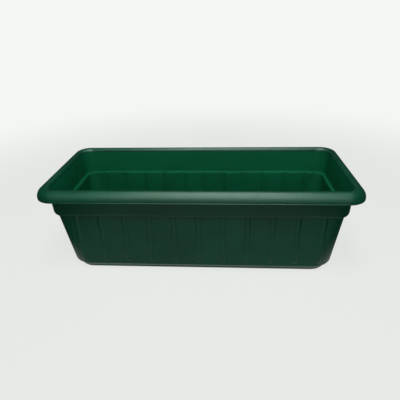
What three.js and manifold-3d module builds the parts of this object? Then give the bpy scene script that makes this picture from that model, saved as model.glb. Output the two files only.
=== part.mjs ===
// A window box planter: a long injection-moulded trough with a rolled rim, a plain band, ribbed tapered walls
// and a floor on a foot ring, with a pull-out plug in each of its drain holes.
// Millimetres, +Z up. The origin is the middle of the ground under the foot ring. X is the long way.
import * as THREE from 'three';
import * as BufferGeometryUtils from 'three/addons/utils/BufferGeometryUtils.js';
import Module from 'manifold-3d';

// ---- The trough as a whole ----
const LENGTH = 460;
const WIDTH = 200;
const HEIGHT = 144;
const WALL = 2;

// ---- Rolled rim ----
const RIM_CORNER_RADIUS = 27.5;
const RIM_OVERHANG = 13.6; // from the rim's outermost line in to the band
const CROWN_INSET = 11.5; // from the rim's outermost line in to its highest line
const CROWN_TO_EQUATOR = 13.5; // how far the outermost line lies below the highest line
const LIP_DROP = 1.7; // how far the lip's edge lies below the outermost line
const LIP_TUCK = 1.9; // how far the lip's edge is drawn in
const MOUTH_ROUNDING = 5.5; // height of the rounding from the crown down to the inner wall

// ---- Plain band and the step below it ----
const BAND_RADIUS = 21; // plan radius of the band's corners, at its top
const BAND_DEPTH = 39; // from the crown down to the band's lower line
const BAND_DRAFT = 1.5; // how much the band leans in from its top to its lower line
const STEP_WIDTH = 5.5;
const STEP_HEIGHT = 6.3;
const LEDGE_ROUNDING = 1.5;

// ---- Tapered wall, base and foot ring ----
const PANEL_TAPER = 3.6;
const BASE_CORNER_RADIUS = 36;
const BASE_DROP = 9.6; // from the foot of the wall down to the top of the foot ring
const BASE_SLOPE = 46; // degrees that the base between them leans in from upright
const BASE_EDGE_RADIUS = 3; // of the rounded edge between the wall and the sloped base
const FLOOR_THICKNESS = 2.2;
const FOOT_HEIGHT = 3;
const FOOT_WALL = 2.4;
const NOTCH_WIDTH = 9; // water runs out from under the floor through these notches in the foot ring
const NOTCH_HEIGHT = 2;
const NOTCH_SPREAD = 64; // between the two notches at one end

// ---- Ribs of the long walls: raised outside, and a channel behind each one inside ----
const RIBS_PER_SIDE = 11;
const RIB_END_DISTANCE = 50.5; // from the rim's end in to the middle of the last rib
const RIB_WIDTH = 7.4;
const RIB_HEIGHT = 2;
const RIB_ROOT = 1.1; // how deep a rib's section reaches into the wall
const RIB_FOOT_RISE = 4.4; // how far above the foot of the wall a rib starts
const RIB_TOP_RISE = 1.5; // how far a rib runs up into the step
const CHANNEL_WIDTH = 6.6;
const CHANNEL_DEPTH = 1.8;
const CHANNEL_FLOOR_WIDTH = 4;

// ---- Drain holes and plugs ----
const HOLES_LONG = 3;
const HOLES_WIDE = 2;
const HOLE_PITCH_LONG = 135;
const HOLE_PITCH_WIDE = 74;
const HOLE_RADIUS = 6.5;
const PLUG_CLEARANCE = 0.3;
const PLUG_TAPER = 0.35;
const PLUG_HEAD_OVERLAP = 4.2; // how far the head reaches past the hole's edge
const PLUG_HEAD_THICKNESS = 1.8;
const PLUG_HEAD_ROUNDING = 0.7;
const PLUG_WALL = 1.5;
const PLUG_GROUND_CLEARANCE = 1;
const GRIP_LENGTH = 13;
const GRIP_THICKNESS = 2.6;
const GRIP_HEIGHT = 6;
const GRIP_CROWN = 3; // height of the grip's rounded top

// ---- How finely curves are cut ----
const CORNER_STEPS = 8;
const RIM_STEPS = 7;
const FILLET_STEPS = 3;
const BASE_STEPS = 3;
const BAR_STEPS = 5;
const RIB_SECTION_STEPS = 4;
const GRIP_STEPS = 10;
const MERGE_TOLERANCE = 1e-4;
const PLUG_SIDES = 24;

// ---- Colours ----
const MOULDED_GREEN = 0x0b3a27;
const PLUG_GREEN = 0x123d2c;

// Places that several features share, worked out from the sizes above.
const FLOOR_TOP = FOOT_HEIGHT + FLOOR_THICKNESS;
const EQUATOR_Z = HEIGHT - CROWN_TO_EQUATOR;
const BAND_TOP_INSET = RIM_OVERHANG;
const BAND_LOW_INSET = BAND_TOP_INSET + BAND_DRAFT;
const BAND_LOW_Z = HEIGHT - BAND_DEPTH;
const PANEL_TOP_INSET = BAND_LOW_INSET + STEP_WIDTH;
const PANEL_TOP_Z = BAND_LOW_Z - STEP_HEIGHT;
const PANEL_LOW_INSET = PANEL_TOP_INSET + PANEL_TAPER;
const PANEL_LOW_Z = FOOT_HEIGHT + BASE_DROP;
const PANEL_TOP_RADIUS = BAND_RADIUS - BAND_DRAFT - STEP_WIDTH;
const BASE_ANGLE = THREE.MathUtils.degToRad(BASE_SLOPE);
const BASE_EDGE_LOW_Z = PANEL_LOW_Z - BASE_EDGE_RADIUS * Math.sin(BASE_ANGLE);
const FOOT_INSET = baseInset(FOOT_HEIGHT); // from the foot of the wall in to the foot ring
const RIB_PITCH = (LENGTH - 2 * RIB_END_DISTANCE) / (RIBS_PER_SIDE - 1);

const wasm = await Module();
wasm.setup();

function toSolid(geometry) {
  const bare = geometry.index ? geometry.toNonIndexed() : geometry.clone();
  bare.deleteAttribute('normal');
  bare.deleteAttribute('uv');
  const merged = BufferGeometryUtils.mergeVertices(bare, MERGE_TOLERANCE);
  return new wasm.Manifold(new wasm.Mesh({
    numProp: 3,
    vertProperties: new Float32Array(merged.attributes.position.array),
    triVerts: new Uint32Array(merged.index.array),
  }));
}

function toGeometry(solid) {
  const mesh = solid.getMesh();
  const geometry = new THREE.BufferGeometry();
  geometry.setAttribute('position', new THREE.BufferAttribute(new Float32Array(mesh.vertProperties), 3));
  geometry.setIndex(new THREE.BufferAttribute(new Uint32Array(mesh.triVerts), 1));
  geometry.computeVertexNormals();
  return geometry;
}

function unite(solids) {
  return solids.reduce((whole, solid) => whole.add(solid));
}

function mouldedPlastic(color, roughness) {
  return new THREE.MeshStandardMaterial({ color, roughness, metalness: 0 });
}

function namedMesh(name, geometry, material) {
  const mesh = new THREE.Mesh(geometry, material);
  mesh.name = name;
  return mesh;
}

// A station is one level line of the trough: how far it lies inside the rim's outermost line, its corner
// radius and its height.
function station(inset, radius, z) {
  return { inset, radius, z };
}

// How far in from the foot of the wall the straight part of the sloped base lies at a height.
function baseInset(z) {
  return BASE_EDGE_RADIUS * (1 - Math.cos(BASE_ANGLE)) + (BASE_EDGE_LOW_Z - z) * Math.tan(BASE_ANGLE);
}

// A quarter of an ellipse from one station to another, leaving the first one upright or level.
function quarterTurn(from, to, steps, leaves) {
  const turn = [];
  for (let step = 1; step <= steps; step += 1) {
    const angle = (step / steps) * (Math.PI / 2);
    const early = 1 - Math.cos(angle);
    const late = Math.sin(angle);
    const across = leaves === 'upright' ? early : late;
    const along = leaves === 'upright' ? late : early;
    turn.push(station(
      THREE.MathUtils.lerp(from.inset, to.inset, across),
      THREE.MathUtils.lerp(from.radius, to.radius, across),
      THREE.MathUtils.lerp(from.z, to.z, along),
    ));
  }
  return turn;
}

// The points of a station's rounded rectangle, anticlockwise seen from above.
function outlinePoints({ inset, radius, z }) {
  const points = [];
  const reachX = LENGTH / 2 - inset - radius;
  const reachY = WIDTH / 2 - inset - radius;
  const corners = [[1, 1], [-1, 1], [-1, -1], [1, -1]];
  corners.forEach(([signX, signY], quarter) => {
    for (let step = 0; step <= CORNER_STEPS; step += 1) {
      const angle = (quarter + step / CORNER_STEPS) * (Math.PI / 2);
      points.push([
        signX * reachX + radius * Math.cos(angle),
        signY * reachY + radius * Math.sin(angle),
        z,
      ]);
    }
  });
  return points;
}

// A closed skin through a list of closed rings with the same number of points. Both end rings are capped.
function skinThroughRings(rings) {
  const count = rings[0].length;
  const positions = rings.flat(2);
  const index = [];
  for (let ring = 0; ring + 1 < rings.length; ring += 1) {
    for (let point = 0; point < count; point += 1) {
      const next = (point + 1) % count;
      const a = ring * count + point;
      const b = ring * count + next;
      const c = (ring + 1) * count + next;
      const d = (ring + 1) * count + point;
      index.push(a, b, c, a, c, d);
    }
  }
  const last = (rings.length - 1) * count;
  for (let point = 1; point + 1 < count; point += 1) {
    index.push(0, point + 1, point);
    index.push(last, last + point, last + point + 1);
  }
  const geometry = new THREE.BufferGeometry();
  geometry.setAttribute('position', new THREE.Float32BufferAttribute(positions, 3));
  geometry.setIndex(index);
  return geometry;
}

// From the middle of the underside out over the foot ring and up the outer wall to the rim's hollow.
function outerWallStations() {
  const footRadius = BASE_CORNER_RADIUS - FOOT_INSET;
  const footInset = PANEL_LOW_INSET + FOOT_INSET;
  const footInnerRadius = footRadius - FOOT_WALL;
  const panelTop = station(PANEL_TOP_INSET, PANEL_TOP_RADIUS, PANEL_TOP_Z);
  const bandLow = station(BAND_LOW_INSET, BAND_RADIUS - BAND_DRAFT, BAND_LOW_Z);
  const baseEdge = [];
  for (let step = BASE_STEPS; step >= 0; step -= 1) {
    const angle = BASE_ANGLE * (step / BASE_STEPS);
    const inward = BASE_EDGE_RADIUS * (1 - Math.cos(angle));
    baseEdge.push(station(
      PANEL_LOW_INSET + inward,
      BASE_CORNER_RADIUS - inward,
      PANEL_LOW_Z - BASE_EDGE_RADIUS * Math.sin(angle),
    ));
  }
  return [
    station(footInset + FOOT_WALL, footInnerRadius, FOOT_HEIGHT),
    station(footInset + FOOT_WALL, footInnerRadius, 0),
    station(footInset, footRadius, 0),
    station(footInset, footRadius, FOOT_HEIGHT),
    ...baseEdge,
    panelTop,
    ...quarterTurn(panelTop, bandLow, FILLET_STEPS, 'level'),
  ];
}

// Up the band into the rim's hollow, round its roof, down to the lip and over the crown to the mouth.
function rimStations() {
  const hollowRoofZ = HEIGHT - WALL;
  const lipInner = station(WALL, RIM_CORNER_RADIUS - WALL, EQUATOR_Z);
  const roof = station(CROWN_INSET, RIM_CORNER_RADIUS - CROWN_INSET, hollowRoofZ);
  const lipEdge = station(LIP_TUCK, RIM_CORNER_RADIUS - LIP_TUCK, EQUATOR_Z - LIP_DROP);
  const equator = station(0, RIM_CORNER_RADIUS, EQUATOR_Z);
  const crown = station(CROWN_INSET, RIM_CORNER_RADIUS - CROWN_INSET, HEIGHT);
  const mouth = station(RIM_OVERHANG + WALL, BAND_RADIUS - WALL, HEIGHT - MOUTH_ROUNDING);
  return [
    station(BAND_TOP_INSET, BAND_RADIUS, hollowRoofZ),
    roof,
    ...quarterTurn(roof, lipInner, RIM_STEPS, 'level'),
    lipEdge,
    ...quarterTurn(lipEdge, equator, FILLET_STEPS, 'level'),
    ...quarterTurn(equator, crown, RIM_STEPS, 'upright'),
    ...quarterTurn(crown, mouth, FILLET_STEPS, 'level'),
  ];
}

// Down the inner wall, over the ledge behind the step and down to the middle of the floor.
function innerWallStations() {
  const bandLow = station(BAND_LOW_INSET + WALL, BAND_RADIUS - BAND_DRAFT - WALL, BAND_LOW_Z);
  const ledgeTopZ = PANEL_TOP_Z + WALL;
  const ledgeBack = station(PANEL_TOP_INSET, PANEL_TOP_RADIUS, ledgeTopZ);
  const ledgeRadius = PANEL_TOP_RADIUS - WALL;
  const panelTopInset = PANEL_TOP_INSET + WALL;
  const ledgeFront = station(panelTopInset - LEDGE_ROUNDING, ledgeRadius + LEDGE_ROUNDING, ledgeTopZ);
  const panelTop = station(panelTopInset, ledgeRadius, ledgeTopZ - LEDGE_ROUNDING);
  const panelLow = station(PANEL_LOW_INSET + WALL, BASE_CORNER_RADIUS - WALL, PANEL_LOW_Z);
  const aboveOutside = WALL / Math.sin(BASE_ANGLE);
  const bendZ = BASE_EDGE_LOW_Z + aboveOutside - (WALL - baseInset(BASE_EDGE_LOW_Z)) / Math.tan(BASE_ANGLE);
  const floorRun = baseInset(FLOOR_TOP - aboveOutside);
  return [
    bandLow,
    ...quarterTurn(bandLow, ledgeBack, FILLET_STEPS, 'upright'),
    ledgeFront,
    ...quarterTurn(ledgeFront, panelTop, FILLET_STEPS, 'level'),
    panelLow,
    station(panelLow.inset, panelLow.radius, bendZ),
    station(PANEL_LOW_INSET + floorRun, BASE_CORNER_RADIUS - floorRun, FLOOR_TOP),
  ];
}

// How far in the outer face of a long wall lies at a place along it and a height. The wall leans, and near
// its ends it turns away into the corner, which widens towards the base.
function wallInset(x, z) {
  const down = (PANEL_TOP_Z - z) / (PANEL_TOP_Z - PANEL_LOW_Z);
  const inset = THREE.MathUtils.lerp(PANEL_TOP_INSET, PANEL_LOW_INSET, down);
  const radius = THREE.MathUtils.lerp(PANEL_TOP_RADIUS, BASE_CORNER_RADIUS, down);
  const intoCorner = Math.max(0, Math.abs(x) - (LENGTH / 2 - inset - radius));
  return inset + radius - Math.sqrt(radius ** 2 - intoCorner ** 2);
}

// A bar that follows the long wall on the +Y side from a rib's foot up to a height. Its section is a
// list of [along X, out of the wall], and each of its points follows the wall by itself, so a bar near a
// corner keeps its depth as the wall turns away.
function wallBar(x, section, topZ) {
  const rings = [];
  for (let step = 0; step <= BAR_STEPS; step += 1) {
    const z = THREE.MathUtils.lerp(PANEL_LOW_Z + RIB_FOOT_RISE, topZ, step / BAR_STEPS);
    rings.push(section.map(([along, out]) => {
      const wallY = WIDTH / 2 - wallInset(x + along, z);
      return [x + along, wallY + out, z];
    }));
  }
  return skinThroughRings(rings);
}

function ribSection() {
  const half = RIB_WIDTH / 2;
  const section = [[-half, -RIB_ROOT], [-half, 0]];
  for (let step = 1; step < RIB_SECTION_STEPS; step += 1) {
    const angle = (step / RIB_SECTION_STEPS) * Math.PI;
    section.push([-half * Math.cos(angle), RIB_HEIGHT * Math.sin(angle)]);
  }
  section.push([half, 0], [half, -RIB_ROOT]);
  return section.reverse();
}

function channelSection() {
  const half = CHANNEL_WIDTH / 2;
  const open = -WALL - STEP_WIDTH;
  return [
    [-half, open],
    [half, open],
    [half, -WALL],
    [CHANNEL_FLOOR_WIDTH / 2, -WALL + CHANNEL_DEPTH],
    [-CHANNEL_FLOOR_WIDTH / 2, -WALL + CHANNEL_DEPTH],
    [-half, -WALL],
  ];
}

// One bar at each rib's place on both long walls.
function onEveryRib(section, topZ) {
  const bars = [];
  for (let rib = 0; rib < RIBS_PER_SIDE; rib += 1) {
    const x = (rib - (RIBS_PER_SIDE - 1) / 2) * RIB_PITCH;
    const bar = wallBar(x, section, topZ);
    bars.push(toSolid(bar));
    bars.push(toSolid(bar.clone().rotateZ(Math.PI)));
  }
  return unite(bars);
}

function ribs() {
  return onEveryRib(ribSection(), PANEL_TOP_Z + RIB_TOP_RISE);
}

function channels() {
  return onEveryRib(channelSection(), PANEL_TOP_Z + WALL + CHANNEL_DEPTH);
}

function drainHoleCentres() {
  const centres = [];
  for (let column = 0; column < HOLES_LONG; column += 1) {
    for (let row = 0; row < HOLES_WIDE; row += 1) {
      centres.push([
        (column - (HOLES_LONG - 1) / 2) * HOLE_PITCH_LONG,
        (row - (HOLES_WIDE - 1) / 2) * HOLE_PITCH_WIDE,
      ]);
    }
  }
  return centres;
}

function drainHoles() {
  const holes = drainHoleCentres().map(([x, y]) => {
    const hole = new THREE.CylinderGeometry(HOLE_RADIUS, HOLE_RADIUS, 3 * FLOOR_THICKNESS, PLUG_SIDES);
    hole.rotateX(Math.PI / 2);
    hole.translate(x, y, FLOOR_TOP - FLOOR_THICKNESS / 2);
    return toSolid(hole);
  });
  return unite(holes);
}

function footNotches() {
  const ringMiddle = LENGTH / 2 - PANEL_LOW_INSET - FOOT_INSET - FOOT_WALL / 2;
  const notches = [];
  [-1, 1].forEach((end) => {
    [-1, 1].forEach((side) => {
      const notch = new THREE.BoxGeometry(3 * FOOT_WALL, NOTCH_WIDTH, 2 * NOTCH_HEIGHT);
      notch.translate(end * ringMiddle, (side * NOTCH_SPREAD) / 2, 0);
      notches.push(toSolid(notch));
    });
  });
  return unite(notches);
}

function troughGeometry() {
  const stations = [...outerWallStations(), ...rimStations(), ...innerWallStations()];
  const shell = toSolid(skinThroughRings(stations.map(outlinePoints)));
  const ribbed = shell.add(ribs()).subtract(channels());
  return toGeometry(ribbed.subtract(drainHoles()).subtract(footNotches()));
}

// The head lies on the floor and the hollow shank hangs in the hole, clear of it and of the ground.
function plugBody() {
  const shankTop = HOLE_RADIUS - PLUG_CLEARANCE;
  const shankLow = shankTop - PLUG_TAPER;
  const headRadius = HOLE_RADIUS + PLUG_HEAD_OVERLAP;
  const headTop = FLOOR_TOP + PLUG_HEAD_THICKNESS;
  const profile = [
    [0, FLOOR_TOP],
    [shankTop - PLUG_WALL, FLOOR_TOP],
    [shankLow - PLUG_WALL, PLUG_GROUND_CLEARANCE],
    [shankLow, PLUG_GROUND_CLEARANCE],
    [shankTop, FLOOR_TOP],
    [headRadius, FLOOR_TOP],
    [headRadius, headTop - PLUG_HEAD_ROUNDING],
    [headRadius - PLUG_HEAD_ROUNDING, headTop],
    [0, headTop],
  ];
  const lathe = new THREE.LatheGeometry(profile.map(([r, z]) => new THREE.Vector2(r, z)), PLUG_SIDES);
  return toSolid(lathe.rotateX(Math.PI / 2));
}

// An upright finger bar with a rounded top, standing across the head.
function plugGrip() {
  const headTop = FLOOR_TOP + PLUG_HEAD_THICKNESS;
  const half = GRIP_LENGTH / 2;
  const shoulder = GRIP_HEIGHT - GRIP_CROWN;
  const outline = new THREE.Shape();
  outline.moveTo(-half, -PLUG_HEAD_THICKNESS / 2);
  outline.lineTo(half, -PLUG_HEAD_THICKNESS / 2);
  outline.lineTo(half, shoulder);
  outline.absellipse(0, shoulder, half, GRIP_CROWN, 0, Math.PI, false);
  outline.closePath();
  const bar = new THREE.ExtrudeGeometry(outline, {
    depth: GRIP_THICKNESS,
    bevelEnabled: false,
    curveSegments: GRIP_STEPS,
  });
  bar.rotateX(Math.PI / 2);
  bar.translate(0, GRIP_THICKNESS / 2, headTop);
  return toSolid(bar);
}

function drainPlugGeometry([x, y]) {
  return toGeometry(plugBody().add(plugGrip())).translate(x, y, 0);
}

const planter = new THREE.Group();
planter.add(namedMesh('trough', troughGeometry(), mouldedPlastic(MOULDED_GREEN, 0.42)));
drainHoleCentres().forEach((centre, number) => {
  const name = `drain_plug_${number + 1}`;
  planter.add(namedMesh(name, drainPlugGeometry(centre), mouldedPlastic(PLUG_GREEN, 0.5)));
});

export default planter;
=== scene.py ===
# %% [markdown]
# # A window box planter
# This lesson dresses a moulded plastic window box for a product picture. The box is one long trough with a
# rolled rim, a plain band, ribbed walls that lean in and a floor on a foot ring. Six small plugs close its
# drain holes. The CAD model gives the sizes and the moving bodies, and Blender adds the fine surface.

# %% Load the CAD frame
import math

import bpy
from mathutils import Matrix, Vector
from mathutils.geometry import tessellate_polygon


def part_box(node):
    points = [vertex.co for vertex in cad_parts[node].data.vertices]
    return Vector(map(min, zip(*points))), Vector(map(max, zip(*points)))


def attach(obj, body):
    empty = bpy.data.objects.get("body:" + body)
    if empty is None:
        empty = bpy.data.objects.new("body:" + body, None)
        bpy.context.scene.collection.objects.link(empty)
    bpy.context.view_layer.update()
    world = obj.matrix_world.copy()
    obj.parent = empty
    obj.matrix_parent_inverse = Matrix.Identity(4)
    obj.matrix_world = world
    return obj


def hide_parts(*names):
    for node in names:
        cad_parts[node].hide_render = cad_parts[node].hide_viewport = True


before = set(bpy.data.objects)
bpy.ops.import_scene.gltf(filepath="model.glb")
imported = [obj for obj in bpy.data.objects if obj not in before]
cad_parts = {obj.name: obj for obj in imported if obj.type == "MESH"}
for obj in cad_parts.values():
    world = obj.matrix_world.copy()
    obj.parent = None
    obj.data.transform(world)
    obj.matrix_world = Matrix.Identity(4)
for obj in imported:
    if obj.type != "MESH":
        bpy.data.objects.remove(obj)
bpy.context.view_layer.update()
MM = 0.001

# %% [markdown]
# ## Sizes
# Blender works in metres here, but a moulded part is drawn in millimetres. The outer sizes are read from the
# CAD trough. The rest are the CAD source's own sizes, written once and used by every line that needs them.
# In this cell only LEDGE_ROUNDING differs: it is 1.5 in the CAD source.

# %% Sizes of the moulding, in millimetres
trough_low, trough_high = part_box("trough")
LENGTH, WIDTH, HEIGHT = [side / MM for side in trough_high - trough_low]
WALL = 2.0
RIM_CORNER_RADIUS = 27.5
RIM_OVERHANG = 13.6
CROWN_INSET = 11.5
CROWN_TO_EQUATOR = 13.5
LIP_DROP = 1.7
LIP_TUCK = 1.9
MOUTH_ROUNDING = 5.5
BAND_RADIUS = 21.0
BAND_DEPTH = 39.0
BAND_DRAFT = 1.5
STEP_WIDTH = 5.5
STEP_HEIGHT = 6.3
LEDGE_ROUNDING = 1.0
PANEL_TAPER = 3.6
BASE_CORNER_RADIUS = 36.0
BASE_DROP = 9.6
BASE_SLOPE = 46.0
BASE_EDGE_RADIUS = 3.0
FLOOR_THICKNESS = 2.2
FOOT_HEIGHT = 3.0
FOOT_WALL = 2.4
print("Trough in mm:", round(LENGTH, 1), round(WIDTH, 1), round(HEIGHT, 1))

# %% Places that follow from the sizes
EQUATOR_Z = HEIGHT - CROWN_TO_EQUATOR
BAND_LOW_INSET = RIM_OVERHANG + BAND_DRAFT
BAND_LOW_Z = HEIGHT - BAND_DEPTH
PANEL_TOP_INSET = BAND_LOW_INSET + STEP_WIDTH
PANEL_TOP_Z = BAND_LOW_Z - STEP_HEIGHT
PANEL_TOP_RADIUS = BAND_RADIUS - BAND_DRAFT - STEP_WIDTH
PANEL_LOW_INSET = PANEL_TOP_INSET + PANEL_TAPER
PANEL_LOW_Z = FOOT_HEIGHT + BASE_DROP
FLOOR_TOP = FOOT_HEIGHT + FLOOR_THICKNESS
print("Floor top, panel top and equator in mm:", FLOOR_TOP, PANEL_TOP_Z, EQUATOR_Z)

# %% [markdown]
# ## The trough's section as stations
# The real trough is one shot of plastic between a core and a cavity, and away from the ribs every level line
# round it is taken as a rounded rectangle. It could be a box with bevels, but the corner radius changes from
# 14 mm at the ledge to 36 mm at the base, which one bevel can't do. So the section is a list of stations, and
# the mesh is lofted through them. A station is how far in it lies, its corner radius and its height.

# %% Helpers for stations
def blend(start, end, across, along):
    """A station between two others: across moves it in plan, along moves it in height."""
    inset = start[0] + (end[0] - start[0]) * across
    radius = start[1] + (end[1] - start[1]) * across
    return (inset, radius, start[2] + (end[2] - start[2]) * along)


def quarter_turn(start, end, steps, leaves):
    """Stations on a quarter of an ellipse, which leaves its start upright or level."""
    turn = []
    for step in range(1, steps + 1):
        angle = step / steps * math.pi / 2
        early, late = 1 - math.cos(angle), math.sin(angle)
        if leaves == "upright":
            turn.append(blend(start, end, early, late))
        else:
            turn.append(blend(start, end, late, early))
    return turn


def straight(start, end, heights):
    """Stations on a straight wall between two others, at the given heights."""
    run = []
    for z in heights:
        share = (z - start[2]) / (end[2] - start[2])
        run.append(blend(start, end, share, share))
    return run


# %% [markdown]
# ## The outside: foot ring, sloped base, leaning panel and band
# The outside starts under the floor, goes round the foot ring, up the sloped base and the leaning panel,
# over the step and up the band. The slope faces down at 46 degrees, so it mirrors the table at a low angle,
# which gives the bright line along the foot. Bevels could ease the edges, but they would follow the ribs
# too. So the roundings of about half a millimetre, as where a mould's steel was eased, are stations as well.
# They catch a thin line of light.

# %% Stations of the outside
EASED_EDGE = 0.5
ROOT_FILLET = 0.9
RIB_FOOT_Z = 17.0
RIB_FOOT_LENGTH = 4.5
RIB_FOOT_ROWS = 10
ROW_CROWDING = 1.6  # how much closer together the rows stand at the very foot of a rib
BESIDE_FOOT = 1.2  # from the foot of the wall or of a rib to the row beside it
BESIDE_EDGE = 0.6  # from another edge to the row beside it
PANEL_ROWS = [26, 34, 46, 60, 74, 86, 94]
EDGE_STEPS = 4
BASE_EDGE_STEPS = 10
STEP_STEPS = 14

BASE_ANGLE = math.radians(BASE_SLOPE)
BASE_EDGE_LOW_Z = PANEL_LOW_Z - BASE_EDGE_RADIUS * math.sin(BASE_ANGLE)


def base_inset(z):
    """How far in from the foot of the wall the straight part of the sloped base lies at a height."""
    return BASE_EDGE_RADIUS * (1 - math.cos(BASE_ANGLE)) + (BASE_EDGE_LOW_Z - z) * math.tan(BASE_ANGLE)


def base_station(inward, z):
    return (PANEL_LOW_INSET + inward, BASE_CORNER_RADIUS - inward, z)


def base_arc(centre_in, centre_z, radius, start, end, steps):
    """Stations on an arc under the wall, between two angles that are measured down from level."""
    angles = [start + (end - start) * step / steps for step in range(steps + 1)]
    return [base_station(centre_in - radius * math.cos(a), centre_z - radius * math.sin(a)) for a in angles]


foot_inward = base_inset(FOOT_HEIGHT)
foot_inset = PANEL_LOW_INSET + foot_inward
foot_radius = BASE_CORNER_RADIUS - foot_inward
foot_inner = foot_inset + FOOT_WALL
foot_inner_radius = foot_radius - FOOT_WALL
panel_low = (PANEL_LOW_INSET, BASE_CORNER_RADIUS, PANEL_LOW_Z)
panel_top = (PANEL_TOP_INSET, PANEL_TOP_RADIUS, PANEL_TOP_Z)
band_low = (BAND_LOW_INSET, BAND_RADIUS - BAND_DRAFT, BAND_LOW_Z)
underside = (foot_inner + 3 * ROOT_FILLET, foot_inner_radius - 3 * ROOT_FILLET, FOOT_HEIGHT)


def foot_ring():
    root = (foot_inner + ROOT_FILLET, foot_inner_radius - ROOT_FILLET, FOOT_HEIGHT)
    root_low = (foot_inner, foot_inner_radius, FOOT_HEIGHT - ROOT_FILLET)
    inner_edge = (foot_inner, foot_inner_radius, EASED_EDGE)
    inner_sole = (foot_inner - EASED_EDGE, foot_inner_radius + EASED_EDGE, 0)
    outer_sole = (foot_inset + EASED_EDGE, foot_radius - EASED_EDGE, 0)
    outer_edge = (foot_inset, foot_radius, EASED_EDGE)
    return [
        root,
        *quarter_turn(root, root_low, EDGE_STEPS, "level"),
        inner_edge,
        *quarter_turn(inner_edge, inner_sole, EDGE_STEPS, "upright"),
        outer_sole,
        *quarter_turn(outer_sole, outer_edge, EDGE_STEPS, "level"),
    ]


def sloped_base():
    """From the foot ring's top up the slope and round its edge to the foot of the wall."""
    low_rows = [FOOT_HEIGHT + 0.25, FOOT_HEIGHT + 0.8, BASE_EDGE_LOW_Z - BESIDE_EDGE]
    return [
        (foot_inset, foot_radius, FOOT_HEIGHT - 0.3),
        *(base_station(base_inset(z), z) for z in low_rows),
        *base_arc(BASE_EDGE_RADIUS, PANEL_LOW_Z, BASE_EDGE_RADIUS, BASE_ANGLE, 0, BASE_EDGE_STEPS),
    ]


def panel_heights(low, high):
    """Close together at the ends of the ribs, wide apart on the plain wall between."""
    rows = range(RIB_FOOT_ROWS + 1)
    foot_rows = [RIB_FOOT_Z + RIB_FOOT_LENGTH * (row / RIB_FOOT_ROWS) ** ROW_CROWDING for row in rows]
    heights = [low + BESIDE_FOOT, RIB_FOOT_Z - BESIDE_FOOT, *foot_rows, *PANEL_ROWS]
    return [z for z in heights if z < high - 1] + [high - BESIDE_EDGE]


outside = [underside, *foot_ring(), *sloped_base()]
outside += straight(panel_low, panel_top, panel_heights(PANEL_LOW_Z, PANEL_TOP_Z - EASED_EDGE))
eased_low = blend(panel_top, panel_low, 0, EASED_EDGE / (PANEL_TOP_Z - PANEL_LOW_Z))
eased_top = (PANEL_TOP_INSET - EASED_EDGE, PANEL_TOP_RADIUS + EASED_EDGE, PANEL_TOP_Z)
outside += [eased_low, *quarter_turn(eased_low, eased_top, EDGE_STEPS, "upright")]
outside += quarter_turn(eased_top, band_low, STEP_STEPS, "level")
print("Stations up to the band:", len(outside))

# %% [markdown]
# ## The band and the rolled rim
# The rim is rolled: the wall turns out over the crown and comes down to a lip, with a hollow under it that
# gives a grip for fingers or a bracket. A thickened tube would give a round rim, but this one is a quarter
# of an ellipse in section, so it goes on as stations. The mould halves are taken to part at the lip, which
# leaves a round bead under a shallow groove. It is modelled, because the photograph has a thin bright line
# there, and the bead draws one.

# %% Stations of the band and the rim
BEAD = 0.8  # the bead's radius
BEAD_SET_IN = 0.03
GROOVE = 0.55  # how far the groove is drawn in
GROOVE_LOW, GROOVE_HIGH, GROOVE_END = 0.05, 0.3, 0.6  # heights above the bead
GROOVE_SHARE = 0.6  # how much of the groove is left at GROOVE_HIGH
BEAD_ARC = range(-90, 64, 14)  # degrees from level, from the bead's sole up its outer side
CROWN_STEPS = 30
HOLLOW_STEPS = 16
MOUTH_STEPS = 14
HOLLOW_FILLET = 1.2
BAND_ROWS = [112, 120, 128, 135, 140]
hollow_z = HEIGHT - WALL
band_top = (RIM_OVERHANG, BAND_RADIUS, hollow_z)
roof = (CROWN_INSET, RIM_CORNER_RADIUS - CROWN_INSET, hollow_z)
lip_inner = (WALL, RIM_CORNER_RADIUS - WALL, EQUATOR_Z)
lip_z = EQUATOR_Z - LIP_DROP
equator = (0, RIM_CORNER_RADIUS, EQUATOR_Z)
crown = (CROWN_INSET, RIM_CORNER_RADIUS - CROWN_INSET, HEIGHT)
mouth = (RIM_OVERHANG + WALL, BAND_RADIUS - WALL, HEIGHT - MOUTH_ROUNDING)


def rim_station(inset, z):
    return (inset, RIM_CORNER_RADIUS - inset, z)


def lip_and_bead():
    """The lip is a round bead under a shallow groove, where the two halves of the mould part."""
    inner_edge = rim_station(LIP_TUCK, lip_z + EASED_EDGE)
    sole = rim_station(LIP_TUCK - EASED_EDGE, lip_z)
    bead = []
    for degrees in BEAD_ARC:
        angle = math.radians(degrees)
        inset = BEAD - BEAD * math.cos(angle) + BEAD_SET_IN
        bead.append(rim_station(inset, lip_z + BEAD + BEAD * math.sin(angle)))
    return [
        inner_edge,
        *quarter_turn(inner_edge, sole, EDGE_STEPS, "upright"),
        *bead,
        rim_station(GROOVE, lip_z + 2 * BEAD + GROOVE_LOW),
        rim_station(GROOVE * GROOVE_SHARE, lip_z + 2 * BEAD + GROOVE_HIGH),
    ]


equator_rise = lip_z + 2 * BEAD + GROOVE_END
hollow_edge = (RIM_OVERHANG - HOLLOW_FILLET, BAND_RADIUS + HOLLOW_FILLET, hollow_z)
over_crown = quarter_turn(equator, crown, CROWN_STEPS, "upright")
outside += straight(band_low, band_top, [BAND_LOW_Z + BESIDE_EDGE, *BAND_ROWS])
outside += quarter_turn(outside[-1], hollow_edge, EDGE_STEPS, "upright")
outside += [roof, *quarter_turn(roof, lip_inner, HOLLOW_STEPS, "level"), *lip_and_bead()]
outside += [station for station in over_crown if station[2] > equator_rise]
outside += quarter_turn(crown, mouth, MOUTH_STEPS, "level")
print("Stations up to the mouth:", len(outside))

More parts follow.
